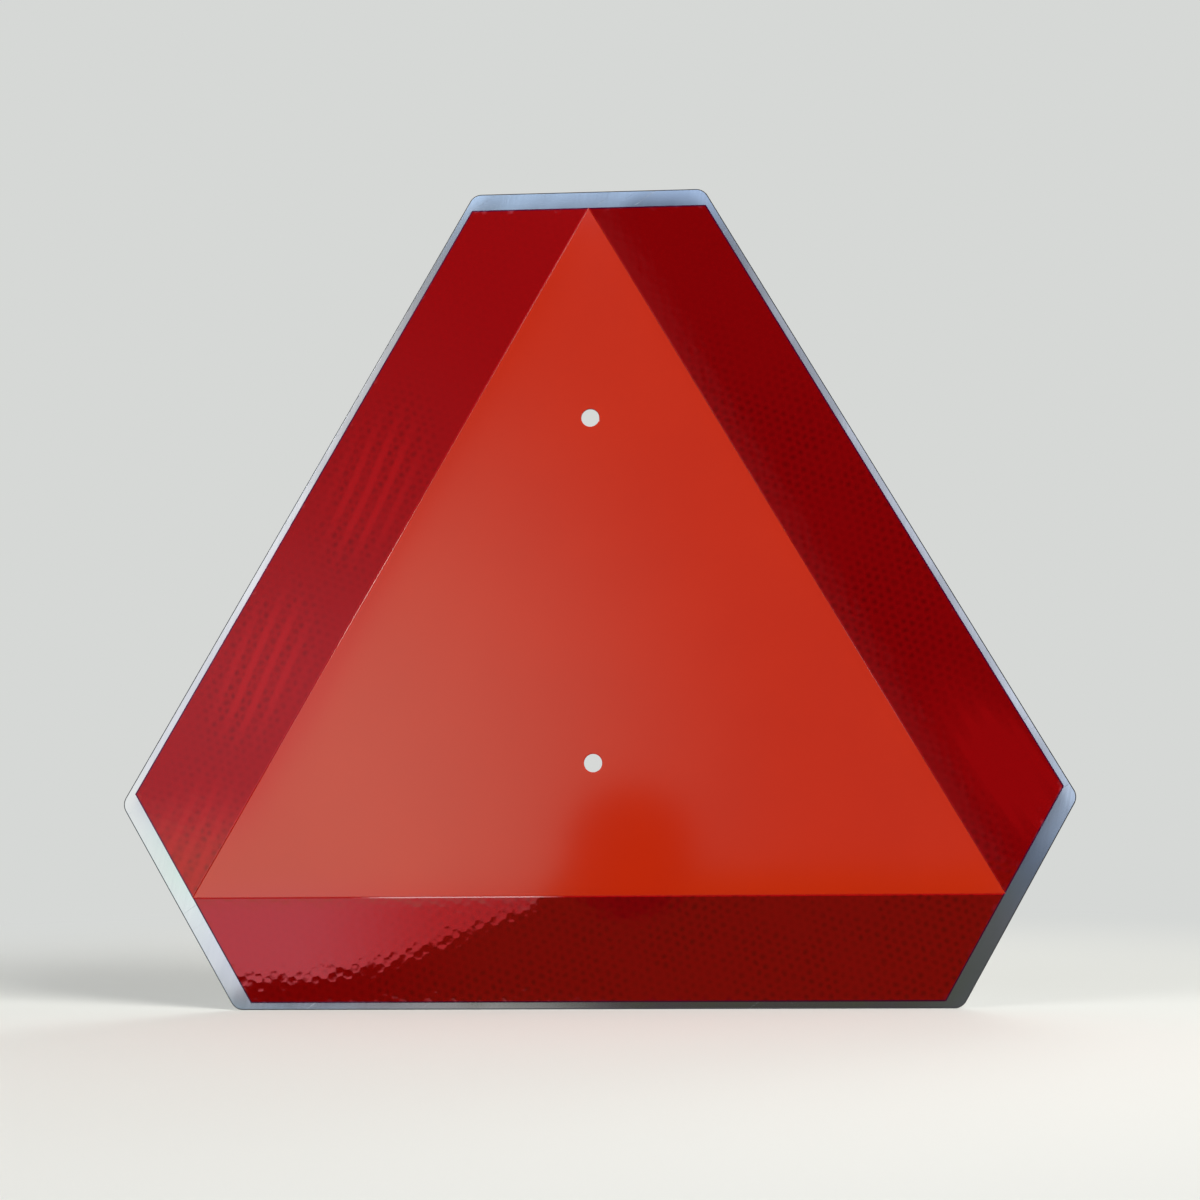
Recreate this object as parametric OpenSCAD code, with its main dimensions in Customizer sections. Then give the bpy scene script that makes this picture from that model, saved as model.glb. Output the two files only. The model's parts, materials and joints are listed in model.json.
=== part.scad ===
// Slow moving vehicle sign.
// A blank of bare aluminium sheet in the shape of a triangle with its corners cut off
// carries a fluorescent triangle inside three strips of retroreflective sheeting.
// Two holes, one above the other, take the bolts that hold it on a vehicle.
// The front faces -Y, +X is to the right seen from the front, and +Z is up.
// The origin is midway between the two holes, on the back of the sheet.

/* [Fluorescent triangle] */
// Height of the fluorescent triangle, from its base to its apex (12 in)
triangle_h = 304.8; // [240:0.1:450]
// Thickness of the fluorescent film
triangle_t = 0.2; // [0.1:0.05:0.6]

/* [Border strips] */
// Width of each strip of retroreflective sheeting
border_w = 45.2; // [20:0.05:60]
// Thickness of the retroreflective sheeting
border_t = 0.35; // [0.1:0.05:0.8]
// Seam between the side of the triangle and the strip that lies along it
seam_gap = 0.2; // [0.05:0.05:1]

/* [Backing plate] */
// Thickness of the aluminium sheet
plate_t = 1; // [0.6:0.1:3]
// Bare metal left past the long outer edge of each strip
side_margin = 3; // [1:0.1:12]
// Bare metal left past the ends of the strips, at the cut-off corners
corner_margin = 7.5; // [1:0.1:20]
// Radius of the six corners of the sheet
corner_r = 6; // [1:0.5:20]

/* [Mounting holes] */
// Diameter of the two bolt holes (5/16 in)
hole_d = 7.94; // [5:0.01:12]
// Distance between the centres of the two holes (6 in)
hole_spacing = 152.4; // [60:0.1:180]
// Height of the lower hole's centre above the base of the triangle (2 1/4 in)
lower_hole_h = 57.15; // [25:0.05:80]

/* [Hidden] */
$fn = 96;

// A line of an outline is [angle of its outward normal, distance from the centre].
// The centre is that of the fluorescent triangle, which all the outlines share.
right_side = 30;
left_side = 150;
bottom_side = 270;
sides = [right_side, left_side, bottom_side];

// The two corners at the ends of a side face half a turn of the triangle to each side.
corner_turn = 60;

// Distances from the centre to the lines of each layer
triangle_side = triangle_h / 3;
triangle_corner = 2 * triangle_side;
strip_inner = triangle_side + seam_gap;
strip_outer = strip_inner + border_w;
plate_side = strip_outer + side_margin;
plate_corner = triangle_corner + corner_margin;

// Height of the centre above the origin, which lies midway between the holes
centre_z = triangle_side - lower_hole_h - hole_spacing / 2;

// Unit vector at an angle
function direction(angle) = [cos(angle), sin(angle)];

// Point where two lines meet
function meeting_point(line_a, line_b) =
    let (turn = sin(line_b[0] - line_a[0]))
    [
        (line_a[1] * sin(line_b[0]) - line_b[1] * sin(line_a[0])) / turn,
        (line_b[1] * cos(line_a[0]) - line_a[1] * cos(line_b[0])) / turn
    ];

// A line moved inwards
function inset(line, distance) = [line[0], line[1] - distance];

// The item after item i of a closed list
function following(list, i) = list[(i + 1) % len(list)];

// Outline whose neighbouring lines meet in sharp corners
module sharp_outline(lines) {
    polygon([
        for (i = [0 : len(lines) - 1])
            meeting_point(lines[i], following(lines, i))
    ]);
}

// Outline whose neighbouring lines are joined by arcs of radius r
module rounded_outline(lines, r) {
    arc_centres = [
        for (i = [0 : len(lines) - 1])
            meeting_point(inset(lines[i], r), inset(following(lines, i), r))
    ];
    polygon([
        for (i = [0 : len(lines) - 1])
            for (line = [lines[i], following(lines, i)])
                arc_centres[i] + r * direction(line[0])
    ]);
    for (arc_centre = arc_centres)
        translate(arc_centre)
            circle(r = r);
}

// The two bolt holes, punched through the sheet and the film in one stroke
module punched_holes() {
    for (end = [-1, 1])
        translate([0, end * hole_spacing / 2])
            circle(d = hole_d);
}

// A flat layer of thickness t, with its back at a distance in front of the sheet's back
module layer(back, t) {
    translate([0, -back, 0])
        rotate([90, 0, 0])
            linear_extrude(t)
                children();
}

// Aluminium blank: three long sides and three cut-off corners, all joined by arcs
module backing_plate() {
    plate_lines = [
        for (side = sides)
            for (line = [[side, plate_side], [side + corner_turn, plate_corner]])
                line
    ];
    color([0.74, 0.77, 0.80])
        layer(0, plate_t)
            difference() {
                translate([0, centre_z])
                    rounded_outline(plate_lines, corner_r);
                punched_holes();
            }
}

// Orange-red film inside the border
module fluorescent_triangle() {
    color([0.78, 0.16, 0.04])
        layer(plate_t, triangle_t)
            difference() {
                translate([0, centre_z])
                    sharp_outline([for (side = sides) [side, triangle_side]]);
                punched_holes();
            }
}

// Strip along one side, cut at both ends on the lines through the triangle's corners
module border_strip(side) {
    ends = [side - corner_turn, side + corner_turn];
    corners = [
        for (end = ends)
            for (edge = [strip_inner, strip_outer])
                meeting_point([side, edge], [end, triangle_corner])
    ];
    color([0.52, 0.02, 0.04])
        layer(plate_t, border_t)
            translate([0, centre_z])
                polygon([corners[0], corners[1], corners[3], corners[2]]);
}

module left_border_strip() {
    border_strip(left_side);
}

module right_border_strip() {
    border_strip(right_side);
}

module bottom_border_strip() {
    border_strip(bottom_side);
}

backing_plate();
fluorescent_triangle();
left_border_strip();
right_border_strip();
bottom_border_strip();
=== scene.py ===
"""Slow moving vehicle sign: the finished look of its five pieces, with floor, light and camera."""
import json
from math import ceil, cos, pi, radians, sin, sqrt

import bmesh
import bpy
from mathutils import Matrix, Vector, noise as hills


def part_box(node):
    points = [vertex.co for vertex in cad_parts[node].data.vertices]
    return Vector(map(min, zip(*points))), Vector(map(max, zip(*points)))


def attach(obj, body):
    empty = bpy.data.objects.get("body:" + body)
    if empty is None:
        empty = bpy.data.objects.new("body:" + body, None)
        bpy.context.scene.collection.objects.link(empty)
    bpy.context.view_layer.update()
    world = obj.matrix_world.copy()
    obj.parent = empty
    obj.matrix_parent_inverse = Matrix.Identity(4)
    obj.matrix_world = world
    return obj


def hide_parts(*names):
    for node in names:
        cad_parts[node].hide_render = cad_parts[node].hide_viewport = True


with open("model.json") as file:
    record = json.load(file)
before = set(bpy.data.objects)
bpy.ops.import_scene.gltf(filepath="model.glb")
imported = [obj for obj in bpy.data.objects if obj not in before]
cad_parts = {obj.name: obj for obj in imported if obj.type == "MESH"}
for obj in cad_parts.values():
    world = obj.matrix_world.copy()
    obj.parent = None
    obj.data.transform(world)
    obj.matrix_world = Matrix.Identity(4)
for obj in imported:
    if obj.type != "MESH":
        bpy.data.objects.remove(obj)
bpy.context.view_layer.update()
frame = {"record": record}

# Backing plate
# The body of the sign: a blank of bright 1 mm aluminium sheet, punched out in one stroke with its two
# bolt holes. The punch rolls the front rim over, bends the two slanting margins back a hair and leaves
# fine marks, and the rolling mill leaves its grain.
MM = 0.001
UP_FROM_X = Vector((0, -1, 0))
SIXTH_TURN = radians(60)
RIGHT_SIDE = radians(30)
LEFT_SIDE = radians(150)
CORNERS = 6
ARC_STEPS = 14
HOLE_STEPS = 64
RIM_ROLL = 0.5 * MM
ROLL_STEPS = 5
BENT_MARGIN = 5 * MM
BEND_SOFTNESS = 4 * MM
BEND = 0.006
GRAIN_DEPTH = 0.010 * MM
GRAIN_TURN = radians(78)
GRAIN_STRETCH = (20, 900, 900)
MARKS_TURN = radians(35)
MARKS_STRETCH = (14, 2200, 2200)
WAVES_TURN = radians(50)
WAVES_STRETCH = (12, 45, 45)
CLOUDS_TO_THE_METRE = 22.0
SHEET_COLOUR = (0.80, 0.82, 0.84, 1)
DULL_SHEET_COLOUR = (0.73, 0.75, 0.77, 1)
# Painted shade: the dark grey of the dull rolled rim and cut edge, which draws a dark outline round the
# plate.
PAINTED_RIM_SHADE_COLOUR = (0.17, 0.17, 0.17, 1)
CREASE = radians(25)
FACES_FRONT = -0.9
LIES_FLAT = 0.999

triangle_low, triangle_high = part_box("fluorescent_triangle")
plate_low, plate_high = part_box("backing_plate")
hole_dims = frame["record"]["mounts"][0]["dims"]
hole_radius = hole_dims["hole_r_mm"] * MM
hole_offset = hole_dims["spacing_y_mm"] * MM / 2
centre = Vector((0, 0, (2 * triangle_low.z + triangle_high.z) / 3))
side_reach = centre.z - plate_low.z
corner_reach = plate_high.z - centre.z


def outward(angle):
    """Unit vector in the sign's plane, at an angle from +X towards +Z."""
    return Vector((cos(angle), 0, sin(angle)))


def corner_point(angle, reach, next_reach):
    """Where a side that faces an angle meets the next one, which faces a sixth of a turn further round."""
    along = (next_reach - reach * cos(SIXTH_TURN)) / sin(SIXTH_TURN)
    return centre + reach * outward(angle) + along * outward(angle + pi / 2)


def punch_holes(edit):
    """Adds the rims of the two bolt holes to an outline in the plane y = 0."""
    facing_front = Matrix.Rotation(radians(90), 4, "X")
    for height in (hole_offset, -hole_offset):
        place = Matrix.Translation((0, 0, height)) @ facing_front
        bmesh.ops.create_circle(edit, segments=HOLE_STEPS, radius=hole_radius, matrix=place)


def points_in(items):
    """The vertices among the items that an operator gave back."""
    return [item for item in items if isinstance(item, bmesh.types.BMVert)]


def fill_and_thicken(edit, back, front):
    """Fills an outline in the plane y = 0 and makes it a sheet from y = back to y = front."""
    bmesh.ops.triangle_fill(edit, use_beauty=True, edges=edit.edges[:], normal=UP_FROM_X)
    bmesh.ops.translate(edit, verts=edit.verts[:], vec=(0, back, 0))
    raised = bmesh.ops.extrude_face_region(edit, geom=edit.faces[:])["geom"]
    bmesh.ops.translate(edit, verts=points_in(raised), vec=(0, front - back, 0))
    bmesh.ops.recalc_face_normals(edit, faces=edit.faces[:])


def front_faces(edit):
    """The faces that look out of the front of the sign."""
    return [face for face in edit.faces if face.normal.y < FACES_FRONT]


def roll_rims(edit, radius, steps):
    """Raises the front of a sheet in narrow rings, which make its rims round."""
    raised_faces = front_faces(edit)
    turns = [radians(90) * step / steps for step in range(steps + 1)]
    for turn, next_turn in zip(turns, turns[1:]):
        bmesh.ops.inset_region(
            edit, faces=raised_faces, use_boundary=True, use_even_offset=True,
            thickness=radius * (cos(turn) - cos(next_turn)), depth=radius * (sin(next_turn) - sin(turn)),
        )


def make_object(name, edit, material):
    """Puts a finished mesh into the scene as an object with one material."""
    mesh = bpy.data.meshes.new(name)
    edit.to_mesh(mesh)
    edit.free()
    mesh.materials.append(material)
    made = bpy.data.objects.new(name, mesh)
    bpy.context.scene.collection.objects.link(made)
    return made


def make_piece(edit, node, material):
    """Makes the mesh the piece that is shown for a CAD node: smooth, with crisp creases and rims."""
    bmesh.ops.recalc_face_normals(edit, faces=edit.faces[:])
    if edit.calc_volume(signed=True) < 0:
        bmesh.ops.reverse_faces(edit, faces=edit.faces[:])
    for face in edit.faces:
        face.smooth = True
    for edge in edit.edges:
        flat_or_not = {abs(face.normal.y) > LIES_FLAT for face in edge.link_faces}
        edge.smooth = edge.calc_face_angle(0) < CREASE and len(flat_or_not) == 1
    piece = make_object(node + "_looks", edit, material)
    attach(piece, "root")
    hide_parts(node)


class Wire:
    """An output in a material's node tree. Arithmetic on wires adds Math nodes."""

    def __init__(self, tree, socket=None):
        self.tree = tree
        self.socket = socket

    def add(self, kind, settings=None, inputs=None, output=0):
        """Adds a node of a kind, sets it up, feeds its sockets and returns one output."""
        node = self.tree.nodes.new(kind)
        for name, value in (settings or {}).items():
            if name == "stops":
                self.set_stops(node.color_ramp, value)
            else:
                setattr(node, name, value)
        for name, value in (inputs or {}).items():
            if isinstance(value, Wire):
                self.tree.links.new(value.socket, node.inputs[name])
            else:
                node.inputs[name].default_value = value
        return Wire(self.tree, node.outputs[output] if node.outputs else None)

    @staticmethod
    def set_stops(ramp, stops):
        """Gives a colour ramp its stops, each a position and a colour."""
        while len(ramp.elements) < len(stops):
            ramp.elements.new(1)
        for element, (position, colour) in zip(ramp.elements, stops):
            element.position = position
            element.color = colour

    def maths(self, operation, *values):
        """One Math node on wires or numbers."""
        return self.add("ShaderNodeMath", {"operation": operation}, dict(enumerate(values)))

    def vector(self, operation, *values, output=0):
        """One Vector Math node on places."""
        return self.add("ShaderNodeVectorMath", {"operation": operation}, dict(enumerate(values)), output)

    def axis(self, name):
        """The X, Y or Z part of a place."""
        return self.add("ShaderNodeSeparateXYZ", {}, {0: self}, output=name)

    def __add__(self, other):
        return self.maths("ADD", self, other)

    __radd__ = __add__

    def __sub__(self, other):
        return self.maths("SUBTRACT", self, other)

    def __rsub__(self, other):
        return self.maths("SUBTRACT", other, self)

    def __mul__(self, other):
        return self.maths("MULTIPLY", self, other)

    __rmul__ = __mul__

    def __truediv__(self, other):
        return self.maths("DIVIDE", self, other)

    def ramp(self, start, end, low=0.0, high=1.0):
        """Goes smoothly from low to high as the value goes from start to end."""
        return self.add(
            "ShaderNodeMapRange", {"interpolation_type": "SMOOTHSTEP"},
            {0: self, 1: start, 2: end, 3: low, 4: high},
        )

    def blend(self, colour, other):
        """Colour where the value is 0 and the other colour where it is 1."""
        return self.add("ShaderNodeMix", {"data_type": "RGBA"}, {0: self, 6: colour, 7: other}, output=2)


def new_material(name):
    """An empty material and the wire from which its nodes are added."""
    material = bpy.data.materials.new(name)
    material.use_nodes = True
    material.node_tree.nodes.clear()
    return material, Wire(material.node_tree)


def place_on_sign(start):
    """Object coordinates measured from the centre of the triangle, in metres."""
    return start.vector("SUBTRACT", start.add("ShaderNodeTexCoord", output="Object"), centre)


def turned(place, angle, stretch=(1, 1, 1)):
    """The place along (X) and across (Z) a direction at an angle in the sign's plane, stretched."""
    along = place.add("ShaderNodeMapping", {}, {"Vector": place, "Rotation": (0, angle, 0)})
    return place.vector("MULTIPLY", along, stretch)


def reach_towards(place, angle):
    """How far a place lies out in the direction of an angle."""
    return place.vector("DOT_PRODUCT", place, outward(angle), output="Value")


def noise(place, scale=1.0, detail=2.0, roughness=0.5):
    """Noise with a mean of about a half, with so many features to the metre."""
    return place.add(
        "ShaderNodeTexNoise", {"noise_dimensions": "3D"},
        {"Vector": place, "Scale": scale, "Detail": detail, "Roughness": roughness},
    )


def bumps(height, depth):
    """The normal of a surface with bumps of a height, in units of a depth."""
    return height.add("ShaderNodeBump", {}, {"Height": height, "Distance": depth})


def surface(start, sockets):
    """The Principled shader of a material, with its sockets, on the material's output."""
    shader = start.add("ShaderNodeBsdfPrincipled", {}, sockets)
    start.add("ShaderNodeOutputMaterial", {}, {"Surface": shader})


def bright_aluminium():
    """Bright mill finish: steep rolling grain, soft clouding, hairline marks and dull cut edges in painted
    shade.
    """
    material, start = new_material("bright_aluminium")
    place = place_on_sign(start)
    grain = noise(turned(place, GRAIN_TURN, GRAIN_STRETCH), detail=3.0, roughness=0.6)
    clouds = noise(place, CLOUDS_TO_THE_METRE)
    marks = noise(turned(place, MARKS_TURN, MARKS_STRETCH), detail=1.0).ramp(0.74, 0.80)
    waves = noise(turned(place, WAVES_TURN, WAVES_STRETCH), detail=1.0)
    dullness = (0.75 * clouds + 0.25 * grain).ramp(0.35, 0.7)
    bent = 0.0
    for side in (RIGHT_SIDE, LEFT_SIDE):
        past_bend = reach_towards(place, side) - (side_reach - BENT_MARGIN)
        bent = start.maths("SMOOTH_MAX", past_bend, bent, BEND_SOFTNESS)
    height = 0.12 * grain + 6 * waves - 0.5 * marks - BEND / GRAIN_DEPTH * bent
    # The cut edges lie between the back, at a depth of 0, and the front, at a depth of 1.
    depth = place.axis("Y") / plate_low.y
    # Painted shade: the rolled rim and cut edge are dull, and they are painted dark grey for the dark
    # outline round the plate.
    sheared_rim_and_shade = depth.ramp(0.9995, 0.985) * depth.ramp(0.001, 0.02)
    surface(start, {
        "Base Color": sheared_rim_and_shade.blend(dullness.blend(SHEET_COLOUR, DULL_SHEET_COLOUR), PAINTED_RIM_SHADE_COLOUR),
        "Metallic": 1.0,
        "Roughness": 0.07 + 0.05 * dullness + 0.12 * marks + 0.4 * sheared_rim_and_shade,
        "Normal": bumps(height, GRAIN_DEPTH),
    })
    return material


right_corner = corner_point(RIGHT_SIDE - SIXTH_TURN, corner_reach, side_reach)
corner_radius = (right_corner.x - plate_high.x) / (1 / cos(RIGHT_SIDE) - 1)
blank = bmesh.new()
arc_ends = []
for turn in range(CORNERS):
    facing = RIGHT_SIDE + turn * SIXTH_TURN
    reach, next_reach = (corner_reach, side_reach) if turn % 2 else (side_reach, corner_reach)
    arc_centre = corner_point(facing, reach - corner_radius, next_reach - corner_radius)
    arc_start = blank.verts.new(arc_centre + corner_radius * outward(facing))
    arc = bmesh.ops.spin(
        blank, geom=[arc_start], cent=arc_centre, axis=UP_FROM_X, angle=SIXTH_TURN, steps=ARC_STEPS,
    )
    arc_ends.append((arc_start, arc["geom_last"][0]))
for turn in range(CORNERS):
    blank.edges.new((arc_ends[turn - 1][1], arc_ends[turn][0]))
punch_holes(blank)
fill_and_thicken(blank, plate_high.y, plate_low.y + RIM_ROLL)
roll_rims(blank, RIM_ROLL, ROLL_STEPS)
make_piece(blank, "backing_plate", bright_aluminium())

# Fluorescent triangle
# Glossy orange-red fluorescent film, cut to a sharp triangle and stuck down in the middle before the
# holes are punched, so that they go through film and sheet together. It lies flat, with very soft ripples.
EDGE_SLOPE_WIDTH = 0.33 * MM
EDGE_SLOPE_DROP = 0.10 * MM
SEAM_CLOSING = 0.1 * MM
RIPPLE_DEPTH = 0.10 * MM
RIPPLES_TURN = radians(60)
RIPPLES_STRETCH = (9, 24, 24)
PEEL_TO_THE_METRE = 420.0
CLOUDS_IN_FILM_TO_THE_METRE = 14.0
HAIR = 0.01 * MM
FILM_COLOUR = (0.552, 0.0200, 0.0006, 1)
DEEP_FILM_COLOUR = (0.532, 0.0180, 0.0004, 1)


def ease_rims(edit, front):
    """Presses the front edges of a stuck-down film back in a narrow slope."""
    bmesh.ops.inset_region(
        edit, faces=front_faces(edit), thickness=EDGE_SLOPE_WIDTH, use_boundary=True, use_even_offset=True,
    )
    rims = [
        edge for edge in edit.edges
        if edge.calc_face_angle(0) > CREASE and all(point.co.y < front + HAIR for point in edge.verts)
    ]
    rim_points = {point for edge in rims for point in edge.verts}
    bmesh.ops.translate(edit, verts=list(rim_points), vec=(0, EDGE_SLOPE_DROP, 0))


def fluorescent_film():
    """Clear gloss over a saturated orange-red that is a little cloudy."""
    material, start = new_material("fluorescent_film")
    place = place_on_sign(start)
    clouds = noise(place, CLOUDS_IN_FILM_TO_THE_METRE)
    ripples = noise(turned(place, RIPPLES_TURN, RIPPLES_STRETCH), detail=1.0)
    peel = noise(place, PEEL_TO_THE_METRE, detail=1.0)
    surface(start, {
        "Base Color": clouds.ramp(0.3, 0.7).blend(FILM_COLOUR, DEEP_FILM_COLOUR),
        "Roughness": 0.07 + 0.04 * clouds,
        "IOR": 1.5,
        "Coat Weight": 1.0,
        "Coat Roughness": 0.08,
        "Coat IOR": 1.5,
        "Normal": bumps(ripples + 0.012 * peel, RIPPLE_DEPTH),
    })
    return material


film = bmesh.new()
triangle_reach = centre.z - triangle_low.z
tip_reach = 2 * (triangle_reach + SEAM_CLOSING)
tips = [film.verts.new(centre + tip_reach * outward(radians(angle))) for angle in (90, 210, 330)]
for corner in range(3):
    film.edges.new((tips[corner - 1], tips[corner]))
punch_holes(film)
fill_and_thicken(film, plate_low.y, triangle_low.y)
ease_rims(film, triangle_low.y)
make_piece(film, "fluorescent_triangle", fluorescent_film())

# Border strips
# Three lengths of dark red prismatic sheeting: a clear glossy face welded to a red, mirror-like back in
# small six-sided cells. Each length is stuck along one side of the triangle, with its ends cut where the
# sign's corners are cut off.
CELL_PITCH = 4.08 * MM
CELL_DISH = 0.0025 * MM
CELL_HILLS = 0.0052 * MM
HILLS_TO_THE_METRE = 330
# Rings of a cell's dish, from its rim inwards: the width in pitches and the share of the fall.
DISH_RINGS = ((0.10, 0.36), (0.13, 0.36), (0.15, 0.28))
# With this tilt, the rows of cells come into line along the strip again every sqrt(7) pitches.
CELL_ROWS_TILT = radians(-19.107)
CELL_JITTER = 0.8
JITTERS_TO_THE_METRE = 120.0
UNEVENNESS_TO_THE_METRE = 190.0
PATCHES_TO_THE_METRE = 24.0
WAVERS_TO_THE_METRE = 30.0
PEBBLES_TO_THE_METRE = 230.0
EDGE_SNAP = 0.15 * MM
ON_THE_RIM = 0.02 * MM
NETWORK_TONE = (1.03, 0.0025, 0.0060, 1)
HEART_TONE = (0.62, 0.0016, 0.0035, 1)
# Painted sheen: the lighter streaks painted where a strip catches the light.
PAINTED_SHEEN_TONE = (1.32, 0.0060, 0.0100, 1)
SEALED_EDGE_TONE = (0.30, 0.0060, 0.1000, 1)
STREAK_SPACING = 7.6 * MM
PEBBLE_DEPTH = 0.010 * MM
SEAM_FADE = (0.50 * MM, 0.35 * MM)
SEALED_EDGE_FADE = (0.75 * MM, 0.50 * MM)

strip_low, strip_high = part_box("bottom_border_strip")
strip_inner = centre.z - strip_high.z
strip_outer = centre.z - strip_low.z
end_reach = 2 * triangle_reach
strip_length = 2 * corner_point(radians(270), strip_inner, end_reach).x


def all_items(edit):
    """Every vertex, edge and face of a mesh."""
    return edit.verts[:] + edit.edges[:] + edit.faces[:]


def open_edges(edit):
    """The edges with a face on one side only."""
    return [edge for edge in edit.edges if edge.is_boundary]


def sheeting_cells():
    """One shallow dished cell, repeated in rows until the cells cover the bottom strip."""
    edit = bmesh.new()
    lie = Matrix.Rotation(CELL_ROWS_TILT, 4, UP_FROM_X) @ Matrix.Rotation(radians(90), 4, "X")
    bmesh.ops.create_circle(edit, cap_ends=True, segments=6, radius=CELL_PITCH / sqrt(3), matrix=lie)
    dish = edit.faces[:]
    for ring_width, fall in DISH_RINGS:
        bmesh.ops.inset_individual(
            edit, faces=dish, thickness=ring_width * CELL_PITCH, depth=-fall * CELL_DISH,
        )
    along = Vector((sqrt(7) * CELL_PITCH, 0, 0))
    rise = -CELL_PITCH * outward(CELL_ROWS_TILT)
    rows_below = ceil((strip_outer + CELL_PITCH) / rise.z)
    cells_left = ceil((strip_length / 2 - rows_below * rise.x) / along.x) + 1
    rows = ceil((strip_outer - strip_inner + 2 * CELL_PITCH) / rise.z)
    row_cells = ceil((strip_length - rows * rise.x) / along.x) + 2
    first_cell = Vector((0, strip_low.y, centre.z)) - rows_below * rise - cells_left * along
    bmesh.ops.translate(edit, verts=edit.verts[:], vec=first_cell)
    for step, copies in ((along, row_cells), (rise, rows)):
        bmesh.ops.spin(
            edit, geom=all_items(edit), cent=(0, 0, 0), axis=UP_FROM_X, dvec=step, steps=copies,
            use_duplicate=True,
        )
    bmesh.ops.remove_doubles(edit, verts=edit.verts[:], dist=HAIR)
    for point in edit.verts:
        point.co.y += CELL_HILLS * hills.noise(HILLS_TO_THE_METRE * point.co)
    return edit


def cut_strip(edit, slope):
    """Cuts the cells near the strip's outline, then adds the sloped rim and the edge down to the plate."""
    width = slope * EDGE_SLOPE_WIDTH
    rims = (
        (outward(radians(90)), SEAM_CLOSING - strip_inner - width),
        (outward(radians(270)), strip_outer - width),
        (outward(radians(210)), end_reach - width),
        (outward(radians(330)), end_reach - width),
    )
    for facing, reach in rims:
        bmesh.ops.bisect_plane(
            edit, geom=all_items(edit), dist=EDGE_SNAP, plane_co=centre + reach * facing, plane_no=facing,
            use_snap_center=True, clear_outer=True,
        )
    slope_items = bmesh.ops.extrude_edge_only(edit, edges=open_edges(edit))["geom"]
    for point in points_in(slope_items):
        out = point.co - centre
        met = [facing for facing, reach in rims if abs(out.dot(facing) - reach) < ON_THE_RIM]
        spread = sum(met, Vector())
        point.co += spread * (len(met) * width / spread.length_squared)
        point.co.y = strip_low.y + slope * EDGE_SLOPE_DROP
    wall_items = bmesh.ops.extrude_edge_only(edit, edges=open_edges(edit))["geom"]
    for point in points_in(wall_items):
        point.co.y = plate_low.y
    bmesh.ops.triangle_fill(edit, use_beauty=True, edges=open_edges(edit))


def tinted(strength, tone):
    """A tone of the sheeting at a strip's strength of red, which is partly painted light."""
    return tuple(strength * channel for channel in tone[:3]) + (1,)


def from_whole(value, shift):
    """How far a value is from the nearest whole number, counted from a shift."""
    return value.maths("FRACT", value - shift + 0.5) - 0.5


def cell_hearts(start, place, facing):
    """1 in the dark heart of each cell and 0 on the network between them, uneven from cell to cell."""
    cell = turned(place, facing + pi / 2 + CELL_ROWS_TILT, (1 / CELL_PITCH,) * 3)
    jitter = start.add(
        "ShaderNodeTexNoise", {}, {"Vector": place, "Scale": JITTERS_TO_THE_METRE, "Detail": 1.0},
        output="Color",
    )
    cell = start.vector("MULTIPLY_ADD", jitter, (CELL_JITTER, 0, CELL_JITTER), cell)
    across_cells = cell.axis("X")
    up_cells = cell.axis("Z") / sqrt(3)
    distances = []
    for half in (0.0, 0.5):
        from_x = from_whole(across_cells, half)
        from_z = from_whole(up_cells, half)
        distances.append(from_x * from_x + 3 * (from_z * from_z))
    distance = start.maths("SQRT", start.maths("MINIMUM", *distances))
    unevenness = noise(place, UNEVENNESS_TO_THE_METRE, detail=1.0)
    patches = noise(place, PATCHES_TO_THE_METRE)
    heart = (distance + 0.25 * unevenness).ramp(0.66, 0.16) * unevenness.ramp(0.25, 0.7, 0.35, 1.0)
    return heart * patches.ramp(0.30, 0.56, 0.45, 1.0)


def zones_of_sheen_and_cover(start, place, slant, zones):
    """How light the painted sheen is in its streaks, and where the cells show plainly, in zones on the
    strip.
    """
    slanted = turned(place, slant)
    waver = noise(place, WAVERS_TO_THE_METRE, detail=0.0)
    wave = start.maths("SINE", slanted.axis("Z") * (2 * pi / STREAK_SPACING) + 2.0 * waver)
    painted_sheen, cover = 0.0, 0.0
    for middle, size, strength, evenness in zones:
        zone_middle = Matrix.Rotation(slant, 3, "Y") @ (Vector((middle[0], 0, middle[1])) * MM - centre)
        from_middle = start.vector("SUBTRACT", slanted, zone_middle)
        spread = start.vector("MULTIPLY", from_middle, (1 / (size[0] * MM), 0, 1 / (size[1] * MM)))
        away = start.vector("LENGTH", spread, output="Value")
        lightness = strength * (evenness + (1 - evenness) * wave.ramp(-0.4, 1.0))
        painted_sheen = away.ramp(1.1, 0.3) * lightness + painted_sheen
        cover = start.maths("MAXIMUM", away.ramp(1.35, 0.5), cover)
    return painted_sheen, cover


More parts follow.
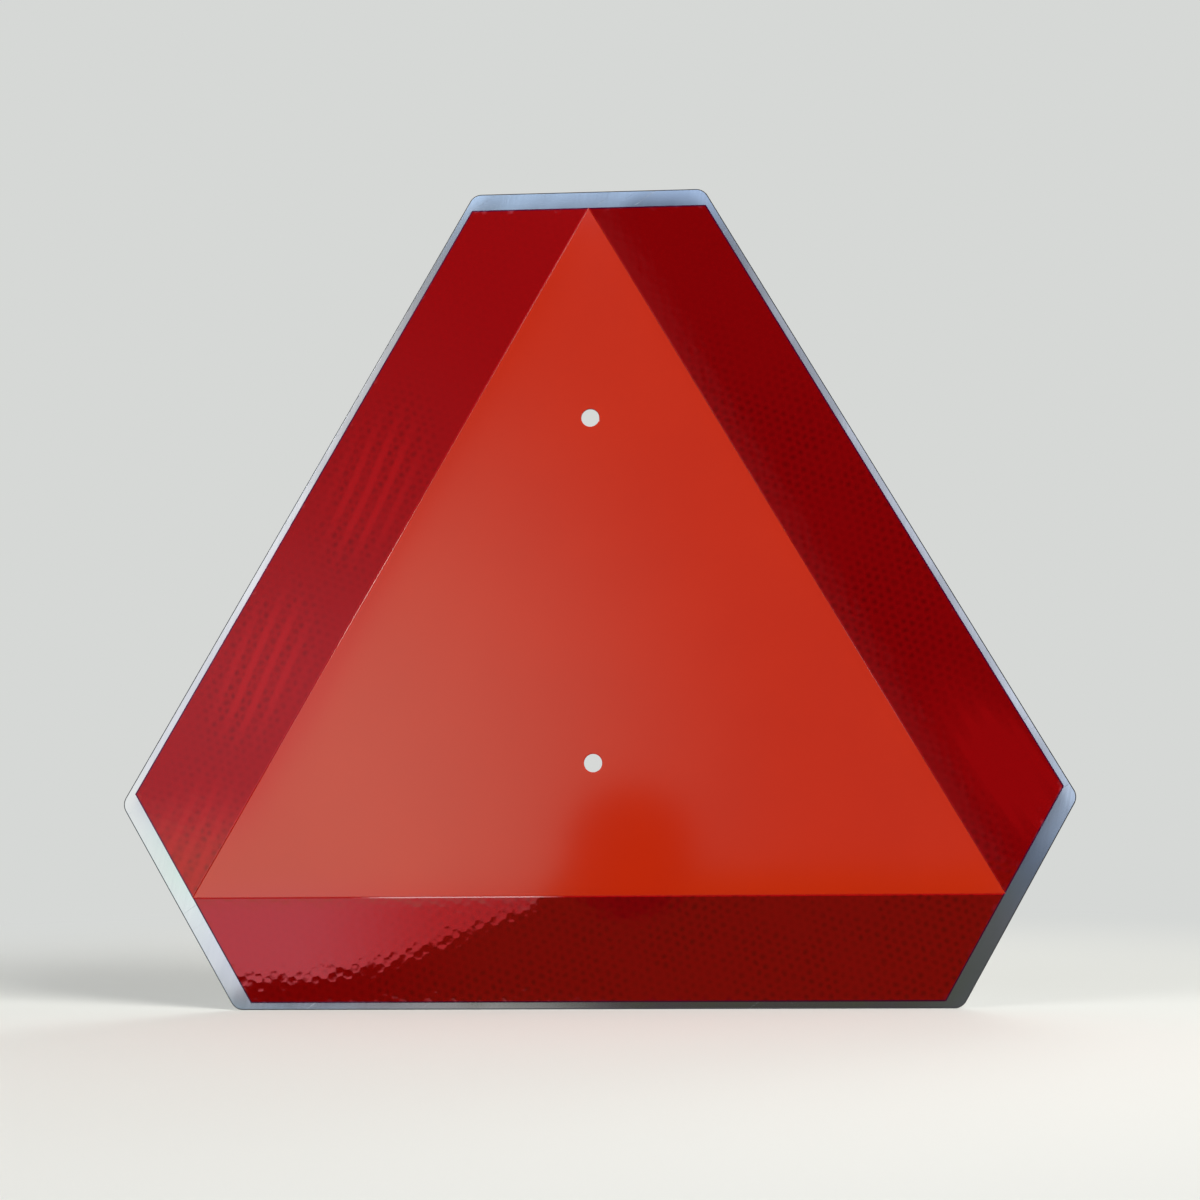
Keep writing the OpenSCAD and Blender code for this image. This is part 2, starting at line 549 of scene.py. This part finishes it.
def red_sheeting(name, facing, red, mirror, gloss, slant, zones):
    """Red mirror cells under a clear gloss face, laid out along a side that faces an angle."""
    material, start = new_material(name)
    place = place_on_sign(start)
    painted_sheen, cover = zones_of_sheen_and_cover(start, place, slant, zones)
    heart = cell_hearts(start, place, facing) * (0.12 + 0.88 * cover)
    network = heart.blend(tinted(red, NETWORK_TONE), tinted(red, HEART_TONE))
    # Painted sheen: lighter streaks laid over the cells in zones.
    cells_with_sheen = painted_sheen.blend(network, tinted(red, PAINTED_SHEEN_TONE))
    seam_start, seam_end = (strip_inner + fade for fade in SEAM_FADE)
    seam = reach_towards(place, facing).ramp(seam_start, seam_end)
    sealed = 0.0
    for turn, rim in ((0, strip_outer), (SIXTH_TURN, end_reach), (-SIXTH_TURN, end_reach)):
        edge_start, edge_end = (rim - fade for fade in SEALED_EDGE_FADE)
        edge = reach_towards(place, facing + turn).ramp(edge_start, edge_end)
        sealed = start.maths("MAXIMUM", edge, sealed)
    pebbles = noise(place, PEBBLES_TO_THE_METRE, detail=1.0)
    surface(start, {
        "Base Color": sealed.blend(cells_with_sheen, tinted(red, SEALED_EDGE_TONE)),
        "Metallic": mirror * (1 - seam),
        "Roughness": 0.02,
        "IOR": 1.6,
        "Specular IOR Level": gloss,
        "Normal": bumps(pebbles, PEBBLE_DEPTH),
    })
    return material


# A zone is (its middle in mm, its half length and half width in mm, how light its painted sheen is, how
# even).
LEFT_ZONES = (
    ((-97, 46), (44, 23), 0.9, 0.1), ((-146, -33), (44, 23), 0.9, 0.1), ((-176, -110), (40, 26), 0.7, 0.2),
)
RIGHT_ZONES = (
    ((182, -84), (38, 21), 1.9, 0.5), ((165, -66), (38, 21), 0.6, 0.7), ((160, -125), (26, 26), 0.0, 0.0),
    ((104, 18), (105, 42), 0.0, 0.0),
)
BOTTOM_ZONES = (((120, -150), (190, 90), 0.0, 0.0), ((-45, -178), (110, 18), 0.0, 0.0))
# The strength of red is partly painted light: the same sheeting is made lighter or darker from strip to
# strip by how light falls on each.
for node, facing, red, mirror, gloss, slope, slant, zones in (
    ("bottom_border_strip", radians(270), 0.38, 0.54, 0.88, 1.4, 0.0, BOTTOM_ZONES),
    ("right_border_strip", RIGHT_SIDE, 0.305, 0.35, 0.35, 0.4, radians(123), RIGHT_ZONES),
    ("left_border_strip", LEFT_SIDE, 0.405, 0.32, 0.55, 0.4, radians(66), LEFT_ZONES),
):
    strip = sheeting_cells()
    cut_strip(strip, slope)
    turn = Matrix.Rotation(facing - radians(270), 3, UP_FROM_X)
    bmesh.ops.rotate(strip, verts=strip.verts[:], cent=centre, matrix=turn)
    sheeting = red_sheeting(node + "_sheeting", facing, red, mirror, gloss, slant, zones)
    make_piece(strip, node, sheeting)

# Floor and backdrop
# A pale round floor that curves up into a wall, seen by the camera alone. Close to the sign it takes the
# soft shadow, and further out it has one even tone.
BACKDROP_COLOUR = (0.672, 0.687, 0.672, 1)
FLOOR_COLOUR = (0.84, 0.845, 0.80, 1)
SHADOW_FADE = (0.25, 0.8)
FLOOR_REACH = 6.0
COVE_RADIUS = 1.5
COVE_STEPS = 12
WALL_HEIGHT = 4.0
SWEEP_STEPS = 96


def hide_from(thing, *rays):
    """Hides a thing from some kinds of light ray."""
    for ray in rays:
        setattr(thing, "visible_" + ray, False)


backdrop_material, start = new_material("backdrop_paint")
away = start.vector("LENGTH", start.add("ShaderNodeTexCoord", output="Object"), output="Value")
painted = start.add("ShaderNodeBsdfDiffuse", {}, {"Color": FLOOR_COLOUR})
even = start.add("ShaderNodeEmission", {}, {"Color": BACKDROP_COLOUR, "Strength": 1.0})
mixed = start.add("ShaderNodeMixShader", {}, {0: away.ramp(*SHADOW_FADE), 1: painted, 2: even})
start.add("ShaderNodeOutputMaterial", {}, {"Surface": mixed})

sweep = bmesh.new()
floor_z = plate_low.z
middle = sweep.verts.new((0, 0, floor_z))
edge_of_floor = sweep.verts.new((FLOOR_REACH, 0, floor_z))
sweep.edges.new((middle, edge_of_floor))
cove = bmesh.ops.spin(
    sweep, geom=[edge_of_floor], cent=(FLOOR_REACH, 0, floor_z + COVE_RADIUS), axis=UP_FROM_X,
    angle=radians(90), steps=COVE_STEPS,
)
top_of_cove = points_in(cove["geom_last"])[0]
top = sweep.verts.new(top_of_cove.co + Vector((0, 0, WALL_HEIGHT)))
sweep.edges.new((top_of_cove, top))
bmesh.ops.spin(
    sweep, geom=sweep.verts[:] + sweep.edges[:], cent=(0, 0, 0), axis=(0, 0, 1), angle=radians(360),
    steps=SWEEP_STEPS, use_merge=True,
)
bmesh.ops.remove_doubles(sweep, verts=sweep.verts[:], dist=MM)
bmesh.ops.recalc_face_normals(sweep, faces=sweep.faces[:])
for face in sweep.faces:
    face.smooth = True
backdrop = make_object("backdrop", sweep, backdrop_material)
hide_from(backdrop, "diffuse", "glossy", "transmission", "shadow")

# Studio light
# Light as under an open sky: a large painted card behind the camera, bright and pale low on the left, dim
# in the middle, cool at the top and right, over dark ground. A plain card stands behind the sign, and large
# soft lamps stand to the right, to the left and behind.
CARD_DISTANCE = 3.0
CARD_SIZE = (9.0, 6.0)
LOW_LEFT = radians(210)
LOW_RIGHT = radians(330)

# What the film and the strips mirror: a wide soft glow, a dim middle and a darker right.
GLOW_PLACE = Vector((-1.117, 0, -0.208))
GLOW_RADIUS = 0.885
GLOW_SOFTNESS = 0.5
GLOW_COLOUR = (0.80, 1.09, 0.92, 1)
COOL_GLOW_COLOUR = (1.05, 1.05, 1.28, 1)
WARM_GLOW_COLOUR = (1.03, 0.42, 0.46, 1)
WARM_GLOW_FADE = (-0.80, -0.44)
DIM_COLOUR = (0.15, 0.15, 0.16, 1)
LEFT_DIM_COLOUR = (0.070, 0.065, 0.070, 1)
LEFT_BAND_SIDE = (0.67, 0.69)
LEFT_BAND_FOOT = (-0.22, -0.05)
LEFT_BAND_DIMMING = (0.1, 0.6, 0.52, 0.75)
LOW_BAND_TOP = (-0.26, -0.30)
DARK_COLOUR = (0.02, 0.02, 0.025, 1)
DARK_RIGHT_SIDE = (0.37, 0.44)
SURROUND_COLOUR = (0.12, 0.12, 0.13, 1)
SURROUND_SIDE = (1.4, 1.7)

# What the margins of bare metal mirror past the strips: white on the left, cool at the right and the top.
WHITE_COLOUR = (0.96, 0.97, 0.93, 1)
WHITE_LOW_LEFT_EDGES = (0.975, 1.0, 1.2, 1.35)
LEFT_WHITE_COLOUR = (1.10, 1.09, 1.11, 1)
WHITE_LEFT_EDGES = (0.916, 0.936, 1.4, 1.7)
WHITE_LEFT_FADE = (1.5, 0.4)
COOL_RIGHT_COLOUR = (0.86, 0.91, 1.05, 1)
COOL_RIGHT_EDGES = (0.588, 0.612, 1.4, 1.7)
COOL_RIGHT_FADE = (1.65, 0.3)
COOL_COLOUR = (0.76, 1.01, 1.37, 1)
DEEP_COOL_COLOUR = (0.57, 0.75, 1.08, 1)
COOL_TOP_EDGES = (1.082, 1.104, 1.3, 1.4)
COOL_TOP_SHIFT = (-0.4, 0.05)
LOW_RIGHT_EDGES = (0.645, 0.665, 1.2, 1.5)
LOW_RIGHT_TOP = (0.25, 0.05)
LOW_RIGHT_SPAN = (-0.5, 0.0)
LOW_RIGHT_STOPS = (
    (0.02, (0.10, 0.105, 0.12, 1)), (0.30, (0.13, 0.12, 0.14, 1)), (0.58, (0.15, 0.20, 0.29, 1)),
    (0.80, (0.64, 0.78, 1.02, 1)), (0.96, (0.80, 0.95, 1.19, 1)),
)

# Dark ground with a slanting skyline, and a round mound and a round dark spot on it.
GROUND_COLOUR = (0.065, 0.080, 0.030, 1)
LEFT_GROUND_COLOUR = (0.070, 0.018, 0.003, 1)
LEFT_GROUND_FADE = (-0.35, -0.75)
SKYLINE = (-0.80, 0.0, -0.43, -0.225)
SKYLINE_SOFTNESS = 0.006
LOW_LEFT_METAL_SIDE = (0.985, 1.0)
LOW_LEFT_METAL_FOOT = (-0.475, -0.44)
NEAR_GROUND_TOP = (-0.479, -0.491)
NEAR_GROUND_SPAN = (-1.0, 0.6)
NEAR_GROUND_STOPS = (
    (0.06, (0.22, 0.375, 0.475, 1)), (0.17, (0.32, 0.43, 0.53, 1)), (0.34, (0.50, 0.47, 0.48, 1)),
    (0.42, (0.50, 0.47, 0.48, 1)), (0.53, (0.070, 0.035, 0.080, 1)), (0.87, (0.070, 0.045, 0.075, 1)),
)
DISC_PLACE = Vector((-0.121, 0, -0.189))
DISC_RADIUS = 0.128
DISC_SOFTNESS = 0.022
MOUND_PLACE = Vector((-0.13, 0, -0.38))
MOUND_RADIUS = 0.20

# Bright panels high up, which the sloped edges along the seams mirror.
HIGH_LEFT_EDGES = (-1.6, -1.9, -3.1, -3.4)
HIGH_LEFT_FOOT = (1.30, 1.38)
HIGH_LEFT_SPAN = (1.3, 2.7)
HIGH_LEFT_STOPS = (
    (0.05, (0.12, 0.12, 0.13, 1)), (0.10, (7.5, 7.5, 7.5, 1)), (0.24, (7.5, 7.5, 7.5, 1)),
    (0.29, (0.9, 0.9, 0.9, 1)), (0.57, (0.9, 0.9, 0.9, 1)), (0.68, (1.9, 1.9, 1.9, 1)),
)
WINDOW_COLOUR = (3.6, 3.6, 3.6, 1)
WINDOW_SIDES = (-0.75, -0.65, -0.38, -0.28)
WINDOW_HEIGHTS = (1.45, 1.55, 1.85, 1.95)

# The plain card behind the sign, which its back mirrors.
LOW_WALL_COLOUR = (0.40, 0.41, 0.42, 1)
HIGH_WALL_COLOUR = (0.78, 0.80, 0.82, 1)
WALL_FADE = (-1.6, 1.4)


def spot(place, point, radius, softness):
    """1 inside a round spot on the card and 0 outside it."""
    flat = place.vector("MULTIPLY", place, (1, 0, 1))
    away = place.vector("DISTANCE", flat, point, output="Value")
    return away.ramp(radius + softness, radius - softness)


def between(value, edges):
    """Rises to 1 over the first two of four edges and falls back to 0 over the last two."""
    return value.ramp(edges[0], edges[1]) * value.ramp(edges[3], edges[2])


def row_of_colours(value, span, stops):
    """Colours laid out along a span of a value."""
    low, high = span
    return value.add("ShaderNodeValToRGB", {"stops": stops}, {0: (value - low) / (high - low)})


def shine(start, colour):
    """Ends a card's material: it gives light of a colour."""
    emission = start.add("ShaderNodeEmission", {}, {"Color": colour, "Strength": 1.0})
    start.add("ShaderNodeOutputMaterial", {}, {"Surface": emission})


def stand_card(name, y, material):
    """A large upright card across the Y axis, which the camera doesn't see."""
    edit = bmesh.new()
    upright = Matrix.Translation((0, y, 0)) @ Matrix.Rotation(radians(90), 4, "X")
    size = Matrix.Diagonal((*CARD_SIZE, 1, 1))
    bmesh.ops.create_grid(edit, x_segments=1, y_segments=1, size=0.5, matrix=upright @ size)
    card = make_object(name, edit, material)
    hide_from(card, "camera")
    return card


sky_material, start = new_material("sky_card")
place = start.add("ShaderNodeTexCoord", output="Object")
card_x = place.axis("X")
card_z = place.axis("Z")
towards_right = reach_towards(place, RIGHT_SIDE)
towards_left = reach_towards(place, LEFT_SIDE)
towards_low_left = reach_towards(place, LOW_LEFT)
towards_low_right = reach_towards(place, LOW_RIGHT)

left_band = towards_left.ramp(*LEFT_BAND_SIDE) * card_z.ramp(*LEFT_BAND_FOOT)
low_band = card_z.ramp(*LOW_BAND_TOP)
glow = spot(place, GLOW_PLACE, GLOW_RADIUS, GLOW_SOFTNESS)
glow = glow * (1 - left_band * card_z.ramp(*LEFT_BAND_DIMMING))
glow_colour = start.maths("MAXIMUM", left_band, low_band).blend(GLOW_COLOUR, COOL_GLOW_COLOUR)
glow_colour = (low_band * card_x.ramp(*WARM_GLOW_FADE)).blend(glow_colour, WARM_GLOW_COLOUR)
sky = glow.blend(left_band.blend(DIM_COLOUR, LEFT_DIM_COLOUR), glow_colour)
sky = towards_right.ramp(*DARK_RIGHT_SIDE).blend(sky, DARK_COLOUR)
surround = start.maths("MAXIMUM", towards_left.ramp(*SURROUND_SIDE), towards_right.ramp(*SURROUND_SIDE))
sky = surround.blend(sky, SURROUND_COLOUR)

white_left = between(towards_left, WHITE_LEFT_EDGES) * card_z.ramp(*WHITE_LEFT_FADE)
sky = white_left.blend(sky, LEFT_WHITE_COLOUR)
sky = between(towards_low_left, WHITE_LOW_LEFT_EDGES).blend(sky, WHITE_COLOUR)
cool_right = between(towards_right, COOL_RIGHT_EDGES) * card_z.ramp(*COOL_RIGHT_FADE)
sky = cool_right.blend(sky, COOL_RIGHT_COLOUR)
cool_colour = card_x.ramp(*COOL_TOP_SHIFT).blend(COOL_COLOUR, DEEP_COOL_COLOUR)
sky = between(card_z, COOL_TOP_EDGES).blend(sky, cool_colour)

ground = (card_z - card_x.ramp(*SKYLINE)).ramp(SKYLINE_SOFTNESS, -SKYLINE_SOFTNESS)
low_left_metal = towards_low_left.ramp(*LOW_LEFT_METAL_SIDE) * card_z.ramp(*LOW_LEFT_METAL_FOOT)
ground = ground * (1 - low_left_metal)
ground_colour = card_x.ramp(*LEFT_GROUND_FADE).blend(GROUND_COLOUR, LEFT_GROUND_COLOUR)
near_ground = row_of_colours(card_x, NEAR_GROUND_SPAN, NEAR_GROUND_STOPS)
ground_colour = card_z.ramp(*NEAR_GROUND_TOP).blend(ground_colour, near_ground)
mound = spot(place, MOUND_PLACE, MOUND_RADIUS, SKYLINE_SOFTNESS)
sky = start.maths("MAXIMUM", ground, mound).blend(sky, ground_colour)
sky = spot(place, DISC_PLACE, DISC_RADIUS, DISC_SOFTNESS).blend(sky, DARK_COLOUR)

low_right = between(towards_low_right, LOW_RIGHT_EDGES) * card_z.ramp(*LOW_RIGHT_TOP)
sky = low_right.blend(sky, row_of_colours(card_z, LOW_RIGHT_SPAN, LOW_RIGHT_STOPS))
high_left = between(card_x, HIGH_LEFT_EDGES) * card_z.ramp(*HIGH_LEFT_FOOT)
sky = high_left.blend(sky, row_of_colours(card_z, HIGH_LEFT_SPAN, HIGH_LEFT_STOPS))
window = between(card_x, WINDOW_SIDES) * between(card_z, WINDOW_HEIGHTS)
shine(start, window.blend(sky, WINDOW_COLOUR))
stand_card("sky_card", -CARD_DISTANCE, sky_material)

wall_material, start = new_material("wall_card")
height = start.add("ShaderNodeTexCoord", output="Object").axis("Z")
shine(start, height.ramp(*WALL_FADE).blend(LOW_WALL_COLOUR, HIGH_WALL_COLOUR))
wall_card = stand_card("wall_card", CARD_DISTANCE, wall_material)
hide_from(wall_card, "diffuse", "shadow")

LAMP_SIZE = 1.5
LAMPS = (
    ("right_lamp", (1.9, -1.7, 1.3), 85.0, (1, 0.99, 0.97)),
    ("left_lamp", (-2.1, -1.5, 1.6), 22.0, (1, 1, 1)),
    ("back_lamp", (0.8, 2.4, 1.8), 20.0, (1, 1, 1)),
)
for name, place, power, colour in LAMPS:
    lamp = bpy.data.lights.new(name, "AREA")
    lamp.size = LAMP_SIZE
    lamp.energy = power
    lamp.color = colour
    stand = bpy.data.objects.new(name, lamp)
    stand.location = place
    stand.rotation_euler = (Vector((0, 0, 0)) - Vector(place)).to_track_quat("-Z", "Y").to_euler()
    hide_from(stand, "camera")
    # The two in front would show as squares in the gloss, so only the one behind is mirrored.
    stand.visible_glossy = name == "back_lamp"
    bpy.context.scene.collection.objects.link(stand)

WORLD_STRENGTH = 0.30
world = bpy.data.worlds.new("plain_light")
world.use_nodes = True
world.node_tree.nodes["Background"].inputs["Color"].default_value = (1, 1, 1, 1)
world.node_tree.nodes["Background"].inputs["Strength"].default_value = WORLD_STRENGTH
bpy.context.scene.world = world

# Camera
# It stands at the photograph's viewpoint: a little low and to the right, looking slightly up.
CAMERA_PLACE = (0.05551, -0.87241, -0.09214)
CAMERA_TURN = (radians(95.706), radians(0.486), radians(3.455))
camera = bpy.data.cameras.new("camera")
camera.sensor_width = 36
camera.lens = 60
viewpoint = bpy.data.objects.new("camera", camera)
viewpoint.location = CAMERA_PLACE
viewpoint.rotation_euler = CAMERA_TURN
bpy.context.scene.collection.objects.link(viewpoint)
bpy.context.scene.camera = viewpoint
bpy.context.scene.view_settings.view_transform = "Standard"
